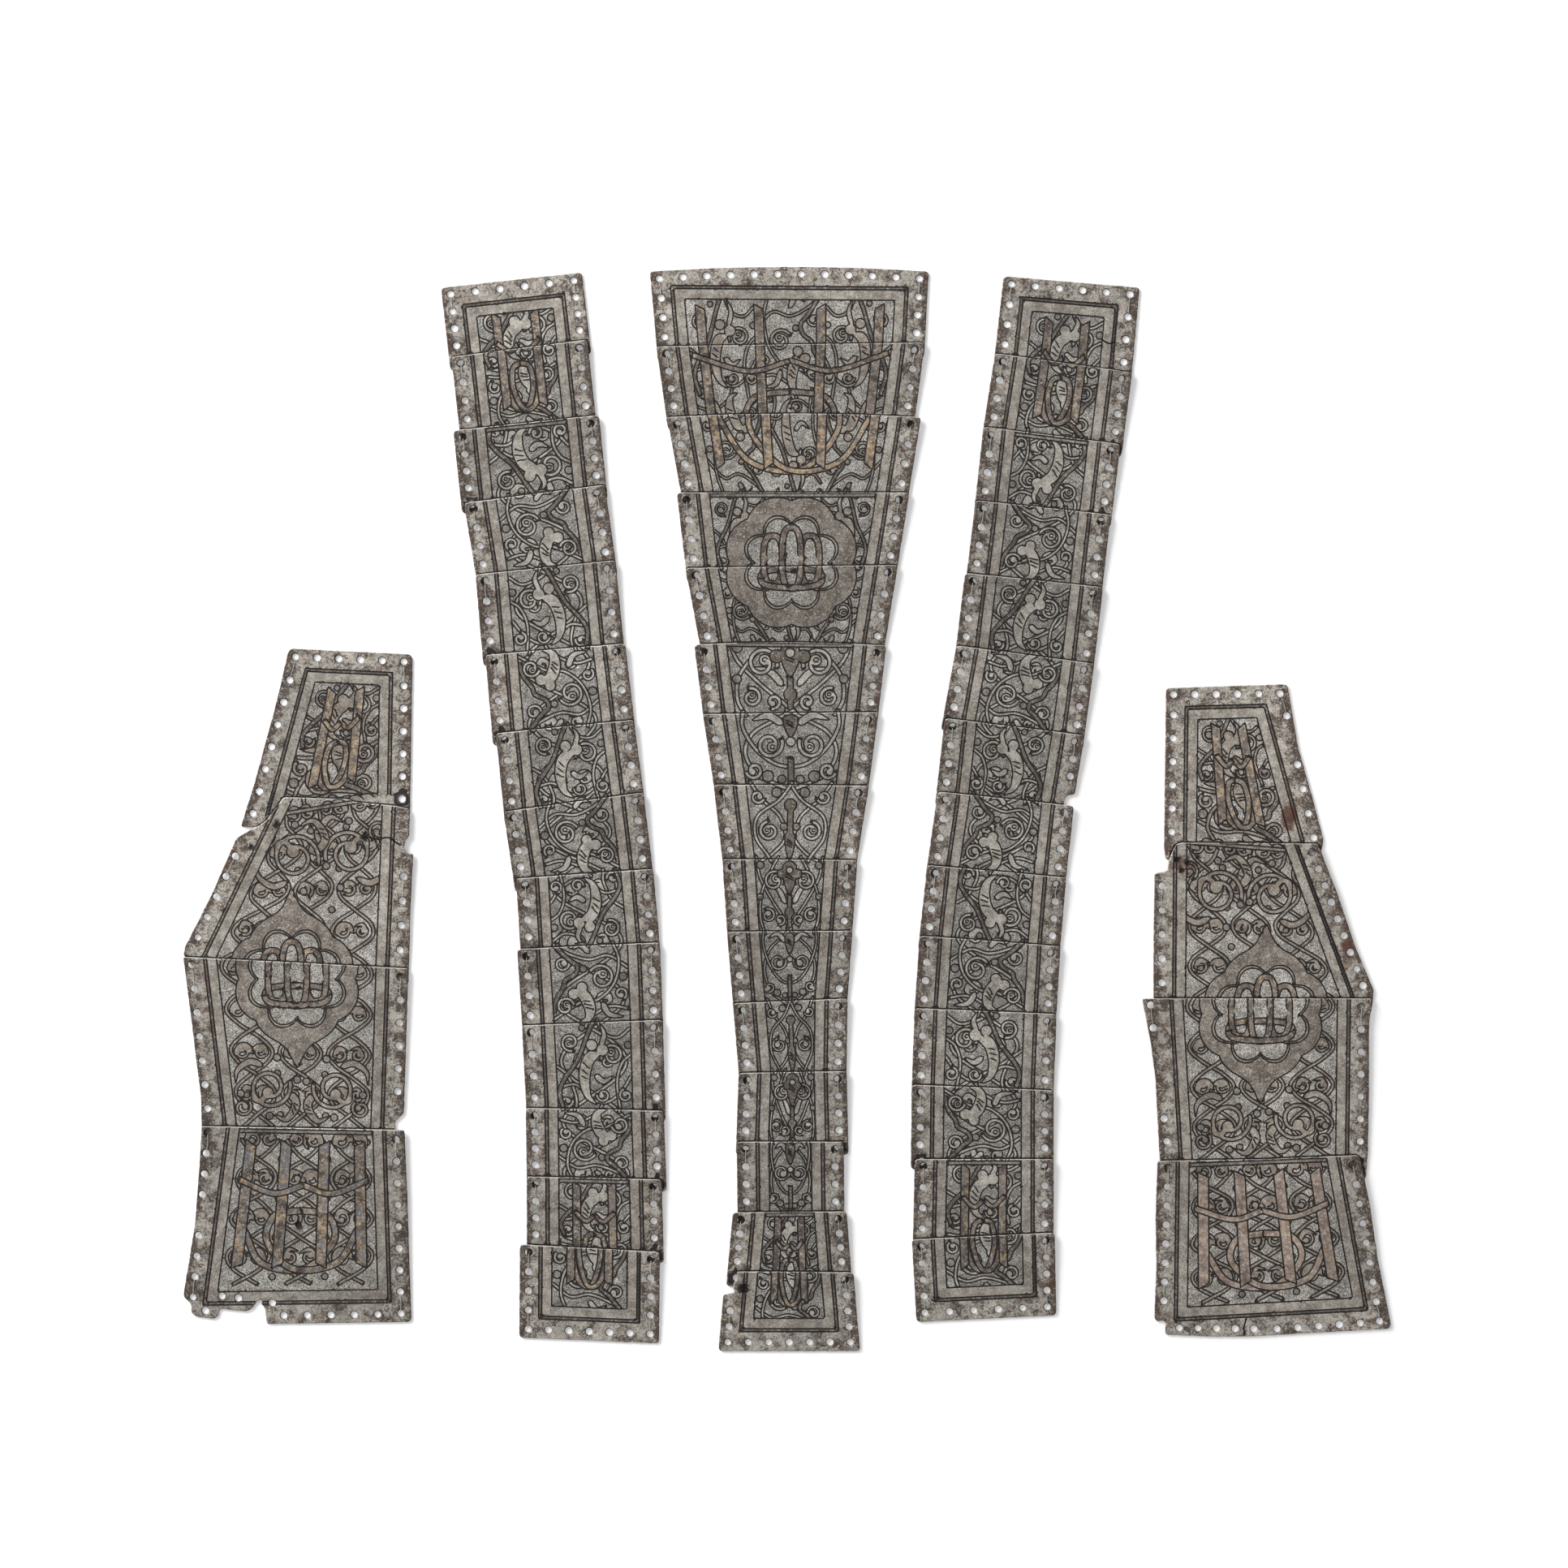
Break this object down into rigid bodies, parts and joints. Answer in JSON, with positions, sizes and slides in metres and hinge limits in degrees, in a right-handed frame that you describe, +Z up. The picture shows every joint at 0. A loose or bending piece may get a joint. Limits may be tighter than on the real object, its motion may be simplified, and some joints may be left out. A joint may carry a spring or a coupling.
{
  "type": "lamellar armour plates",
  "caption": "Body armour laid out flat: columns of overlapping engraved steel plates with lacing holes along their sides, lying on a surface.",
  "frame": {"origin": "on the surface that the armour lies on, under the middle of its box", "axes": "+X across the columns to the viewer's right, +Y towards the neck end, +Z up off the surface"},
  "size_m": [0.6246, 0.561, 0.0032],
  "materials": {
    "engraved_steel": "satin"
  },
  "bodies": {
    "root": {"centre_plate_01": "engraved_steel", "centre_plate_02": "engraved_steel", "centre_plate_03": "engraved_steel", "centre_plate_04": "engraved_steel", "centre_plate_05": "engraved_steel", "centre_plate_06": "engraved_steel", "centre_plate_07": "engraved_steel", "centre_plate_08": "engraved_steel", "centre_plate_09": "engraved_steel", "centre_plate_10": "engraved_steel", "centre_plate_11": "engraved_steel", "centre_plate_12": "engraved_steel", "centre_plate_13": "engraved_steel", "centre_plate_14": "engraved_steel", "centre_plate_15": "engraved_steel", "left_inner_plate_01": "engraved_steel", "left_inner_plate_02": "engraved_steel", "left_inner_plate_03": "engraved_steel", "left_inner_plate_04": "engraved_steel", "left_inner_plate_05": "engraved_steel", "left_inner_plate_06": "engraved_steel", "left_inner_plate_07": "engraved_steel", "left_inner_plate_08": "engraved_steel", "left_inner_plate_09": "engraved_steel", "left_inner_plate_10": "engraved_steel", "left_inner_plate_11": "engraved_steel", "left_inner_plate_12": "engraved_steel", "left_inner_plate_13": "engraved_steel", "left_inner_plate_14": "engraved_steel", "left_outer_plate_01": "engraved_steel", "left_outer_plate_02": "engraved_steel", "left_outer_plate_03": "engraved_steel", "left_outer_plate_04": "engraved_steel", "right_inner_plate_01": "engraved_steel", "right_inner_plate_02": "engraved_steel", "right_inner_plate_03": "engraved_steel", "right_inner_plate_04": "engraved_steel", "right_inner_plate_05": "engraved_steel", "right_inner_plate_06": "engraved_steel", "right_inner_plate_07": "engraved_steel", "right_inner_plate_08": "engraved_steel", "right_inner_plate_09": "engraved_steel", "right_inner_plate_10": "engraved_steel", "right_inner_plate_11": "engraved_steel", "right_inner_plate_12": "engraved_steel", "right_inner_plate_13": "engraved_steel", "right_inner_plate_14": "engraved_steel", "right_outer_plate_01": "engraved_steel", "right_outer_plate_02": "engraved_steel", "right_outer_plate_03": "engraved_steel", "right_outer_plate_04": "engraved_steel"}
  },
  "joints": []
}
